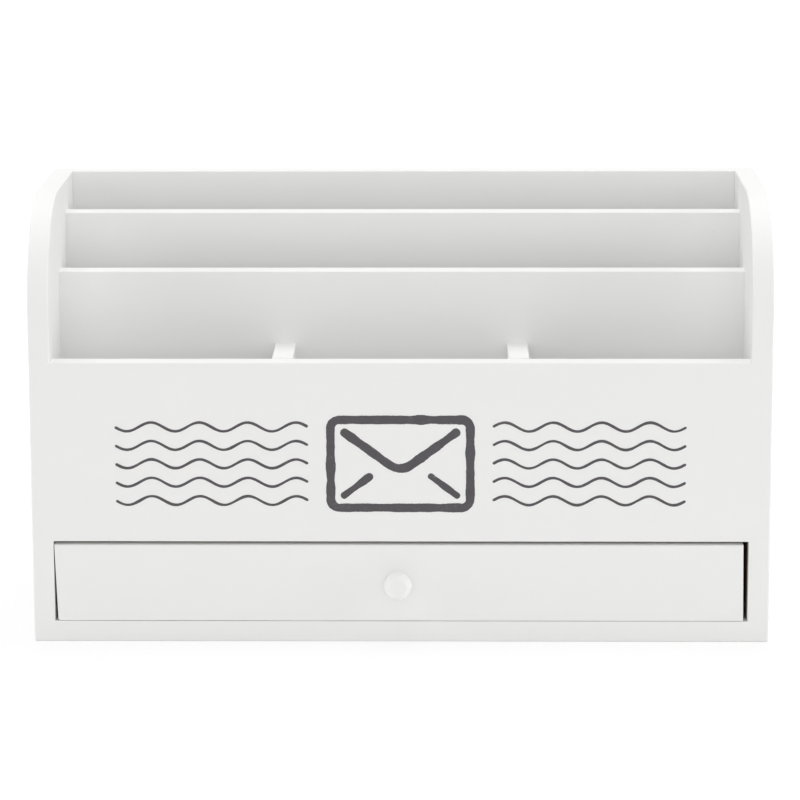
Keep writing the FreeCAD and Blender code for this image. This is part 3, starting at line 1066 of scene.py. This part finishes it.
def sink_groove(bm, back):
    """Sinks the groove that holds the drawer bottom into the back of the drawer front."""
    drawer = settings().drawer
    low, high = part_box("drawer_bottom")
    left, right = low.x - drawer.groove_play, high.x + drawer.groove_play
    under, over = low.z, high.z + drawer.groove_play
    cut_at(bm, "x", (left, right))
    cut_at(bm, "z", (under, over))

    def is_in_groove(face):
        middle = face.calc_center_median()
        return abs(middle.y - back) < SAME_PLACE and left < middle.x < right and under < middle.z < over

    groove = [face for face in bm.faces if is_in_groove(face)]
    sunk = bmesh.ops.extrude_face_region(bm, geom=groove)["geom"]
    bmesh.ops.delete(bm, geom=groove, context="FACES_ONLY")
    verts = [item for item in sunk if isinstance(item, bmesh.types.BMVert)]
    bmesh.ops.translate(bm, vec=(0, -drawer.groove_depth, 0), verts=verts)


def drawer_front():
    """The drawer front: out of square, softly rounded, with the groove for the bottom in its back."""
    boards = settings().boards
    drawer = settings().drawer
    low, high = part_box("drawer_front")
    low.x -= drawer.end_paint
    high.x += drawer.end_paint
    bm = block(low, high)
    for vert in bm.verts:
        if lies_in(vert, {"x": low.x, "z": low.z}):
            vert.co.x += drawer.left_end_lean
        elif lies_in(vert, {"x": high.x, "z": high.z}):
            vert.co.x -= drawer.right_end_lean
    round_off(bm, edges_in(bm, {"y": low.y, "z": high.z}), drawer.top_round, boards.round_steps)
    lower_left = [edge for edge in edges_in(bm, {"z": low.z}) if max(vert.co.x for vert in edge.verts) < 0]
    round_off(bm, lower_left, drawer.corner_round, boards.round_steps)
    bm.normal_update()
    ends = [face for face in bm.faces if looks_sideways(face)]
    crisp = [edge for face in ends for edge in face.edges if edge.calc_face_angle(0.0) > SHARP]
    corner_top = low.z + drawer.corner_round + SAME_PLACE
    front_edges = edges_in(bm, {"y": low.y})
    crisp += [edge for edge in front_edges if max(vert.co.z for vert in edge.verts) < corner_top]
    back_edges = edges_in(bm, {"y": high.y})
    crisp = [edge for edge in without_repeats(crisp) if edge not in back_edges]
    round_off(bm, crisp, drawer.end_round, boards.round_steps)
    cut_at(bm, "x", even_places(low.x, high.x, boards.cut_spacing))
    sink_groove(bm, high.y)
    sand(bm)
    return bm


class SORTER_OT_drawer_front(bpy.types.Operator):
    """Builds the drawer front."""

    bl_idname = "sorter.drawer_front"
    bl_label = "Drawer front"

    def execute(self, context):
        bm = drawer_front()
        new_piece(bm, "drawer_front_painted", "drawer_paint", DRAWER, ["drawer_front"])
        return {"FINISHED"}


def curve(start, pull, end, steps):
    """Points after start on a curve that leaves start and reaches end along lines through pull."""
    shares = [step / steps for step in range(1, steps + 1)]
    return [start.lerp(pull, part).lerp(pull.lerp(end, part), part) for part in shares]


def knob_profile(bm, knob, radius, reach):
    """Half outline of the knob as a chain of edges, from the foot to the middle of the dish."""
    waist = Vector((knob.neck_radius, knob.neck_place))
    widest = Vector((radius, knob.head_place))
    rim = Vector((knob.face_radius, reach))
    dish = Vector((0, reach - knob.dish_depth))
    foot = Vector((knob.foot_radius, knob.foot_length))
    under = Vector((radius, knob.head_place - knob.fullness * (knob.head_place - knob.neck_place)))
    over = Vector((radius, knob.head_place + knob.fullness * (reach - knob.head_place)))
    inward = Vector((knob.face_radius / 2, reach - knob.dish_depth))
    points = [Vector((0, 0)), Vector((knob.foot_radius, 0)), foot]
    points += curve(foot, foot.lerp(waist, NECK_PULL), waist, NECK_STEPS)
    points += curve(waist, under, widest, UNDERSIDE_STEPS)
    points += curve(widest, over, rim, SHOULDER_STEPS)
    points += curve(rim, inward, dish, DISH_STEPS)
    verts = [bm.verts.new((point.x, -point.y, 0)) for point in points]
    return verts, [bm.edges.new(pair) for pair in zip(verts, verts[1:])]


class SORTER_OT_knob(bpy.types.Operator):
    """Turns the knob."""

    bl_idname = "sorter.knob"
    bl_label = "Knob"

    def execute(self, context):
        knob = settings().knob
        low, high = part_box("drawer_knob")
        middle = (low + high) / 2
        bm = bmesh.new()
        verts, edges = knob_profile(bm, knob, (high.x - low.x) / 2, high.y - low.y)
        bmesh.ops.spin(
            bm,
            geom=[*verts, *edges],
            cent=(0, 0, 0),
            axis=(0, 1, 0),
            angle=2 * math.pi,
            steps=knob.turns,
            use_merge=True,
        )
        bmesh.ops.remove_doubles(bm, verts=bm.verts, dist=SAME_PLACE / 10)
        bmesh.ops.translate(bm, vec=(middle.x, high.y, middle.z), verts=bm.verts)
        new_piece(bm, "turned_knob", "knob_paint", DRAWER, ["drawer_knob"])
        return {"FINISHED"}


class SORTER_OT_carried_over(bpy.types.Operator):
    """Gives every piece of the frame that shows as it is its finish."""

    bl_idname = "sorter.carried_over"
    bl_label = "Carried-over pieces"

    def execute(self, context):
        finishes = {
            "letter_deck": "satin_paint",
            "drawer_left_side": "drawer_paint",
            "drawer_right_side": "drawer_paint",
            "drawer_back": "drawer_paint",
            "drawer_bottom": "hardboard",
            "knob_screw": "zinc_plate",
        }
        for name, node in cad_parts.items():
            if node.hide_render:
                continue
            material = "bright_wire" if name.endswith("_pins") else finishes[name]
            for material_slot in node.material_slots:
                material_slot.material = finish_of(material)
        return {"FINISHED"}


# ---------------------------------------------------------------- stage
FULL_SHADOW = 0.4  # share of the shadow's reach within which it shows in full


def area_light(name, place, aim, size, power):
    """A soft rectangular light."""
    data = bpy.data.lights.new(name, "AREA")
    data.shape = "RECTANGLE"
    data.size, data.size_y = size
    data.energy = power
    light = new_object(name, data)
    light.location = place
    light.rotation_euler = (Vector(aim) - Vector(place)).to_track_quat("-Z", "Y").to_euler()


def seen_directly(graph):
    """1 for rays that show the background itself: from the camera, a mirror or glass."""
    rays = graph.add("ShaderNodeLightPath").socket.node
    camera, glossy, through = [
        Value(graph, rays.outputs[name]) for name in ("Is Camera Ray", "Is Glossy Ray", "Is Transmission Ray")
    ]
    return camera.math("MAXIMUM", camera.math("MAXIMUM", camera, glossy), through)


def white_surroundings(stage):
    """Even light all round, seen as plain white."""
    world = bpy.data.worlds.new("surroundings")
    world.use_nodes = True
    bpy.context.scene.world = world
    graph = Graph(world.node_tree)
    shown = seen_directly(graph)
    strength = shown * (1.0 - stage.sky) + stage.sky
    light = graph.add("ShaderNodeBackground", sockets={"Color": (1, 1, 1, 1), "Strength": strength})
    graph.add("ShaderNodeOutputWorld", sockets={"Surface": light})


def floor_sheet(stage):
    """A plain pale floor that keeps the object's shadow."""
    bm = bmesh.new()
    bmesh.ops.create_grid(bm, x_segments=4, y_segments=4, size=8.0)
    mesh = bpy.data.meshes.new("floor")
    bm.to_mesh(mesh)
    bm.free()
    material, graph = new_graph("floor_sheet")
    shown = seen_directly(graph)
    lit = graph.add("ShaderNodeBsdfDiffuse", sockets={"Color": opaque(stage.floor)})
    pale = graph.add("ShaderNodeBsdfDiffuse", sockets={"Color": opaque([stage.floor_shadow] * 3)})
    sockets = {"Vector": graph.place()}
    from_rack = graph.add("ShaderNodeVectorMath", {"operation": "LENGTH"}, sockets, output="Value")
    far = from_rack.rises(FULL_SHADOW * stage.shadow_reach, stage.shadow_reach)
    strength = far * (1.0 - stage.floor_glow) + stage.floor_glow
    glow = graph.add("ShaderNodeEmission", sockets={"Color": (1, 1, 1, 1), "Strength": strength})
    bright = graph.add("ShaderNodeAddShader", sockets={0: pale, 1: glow})
    mixed = graph.add("ShaderNodeMixShader", sockets={0: shown, 1: lit, 2: bright})
    graph.add("ShaderNodeOutputMaterial", sockets={"Surface": mixed})
    mesh.materials.append(material)
    floor = new_object("floor", mesh)


class SORTER_OT_stage(bpy.types.Operator):
    """Sets the camera, the soft lights, the white surroundings and the floor."""

    bl_idname = "sorter.stage"
    bl_label = "Stage"

    def execute(self, context):
        stage = settings().stage
        data = bpy.data.cameras.new("camera")
        data.lens = stage.lens
        data.clip_end = 100.0
        camera = new_object("camera", data)
        camera.matrix_world = (
            Matrix.Translation(stage.camera_place)
            @ Matrix.Rotation(-stage.camera_yaw, 4, "Z")
            @ Matrix.Rotation(math.pi / 2 - stage.camera_pitch, 4, "X")
            @ Matrix.Rotation(stage.camera_roll, 4, "Z")
        )
        context.scene.camera = camera
        context.scene.view_settings.view_transform = "Standard"
        for name, place, aim, size, power in (
            ("top_softbox", (0, 0.3, 1.6), (0, 0, 0.1), (1.6, 1.2), stage.top_light),
            ("front_softbox", (0, -2.4, 0.9), (0, 0, 0.1), (2.4, 1.6), stage.front_light),
            ("left_softbox", (-1.6, -0.2, 0.45), (0, 0, 0.12), (1.0, 1.0), stage.left_light),
            ("right_softbox", (1.6, -0.2, 0.45), (0, 0, 0.12), (1.0, 1.0), stage.right_light),
        ):
            area_light(name, place, aim, size, power)
        white_surroundings(stage)
        floor_sheet(stage)
        return {"FINISHED"}


# ---------------------------------------------------------------- panel and registration
OPERATORS = (
    SORTER_OT_side_boards,
    SORTER_OT_cross_boards,
    SORTER_OT_partitions,
    SORTER_OT_paint_marks,
    SORTER_OT_front_print,
    SORTER_OT_drawer_front,
    SORTER_OT_knob,
    SORTER_OT_carried_over,
    SORTER_OT_stage,
)


class SORTER_PT_panel(bpy.types.Panel):
    """Lists the sorter's pieces in the sidebar."""

    bl_idname = "SORTER_PT_panel"
    bl_label = "Envelope sorter"
    bl_space_type = "VIEW_3D"
    bl_region_type = "UI"
    bl_category = "Sorter"

    def draw(self, context):
        for operator in OPERATORS:
            self.layout.operator(operator.bl_idname)


CLASSES = (
    BoardSettings,
    DrawerSettings,
    KnobSettings,
    MarkSettings,
    PrintSettings,
    FinishSettings,
    StageSettings,
    SorterSettings,
    *OPERATORS,
    SORTER_PT_panel,
)


def register():
    for item in CLASSES:
        bpy.utils.register_class(item)
    bpy.types.Scene.sorter = PointerProperty(type=SorterSettings)


def unregister():
    del bpy.types.Scene.sorter
    for item in reversed(CLASSES):
        bpy.utils.unregister_class(item)


def main():
    register()
    bpy.ops.sorter.side_boards()
    bpy.ops.sorter.cross_boards()
    bpy.ops.sorter.partitions()
    bpy.ops.sorter.paint_marks()
    bpy.ops.sorter.front_print()
    bpy.ops.sorter.drawer_front()
    bpy.ops.sorter.knob()
    bpy.ops.sorter.carried_over()
    bpy.ops.sorter.stage()


if __name__ == "__main__":
    main()
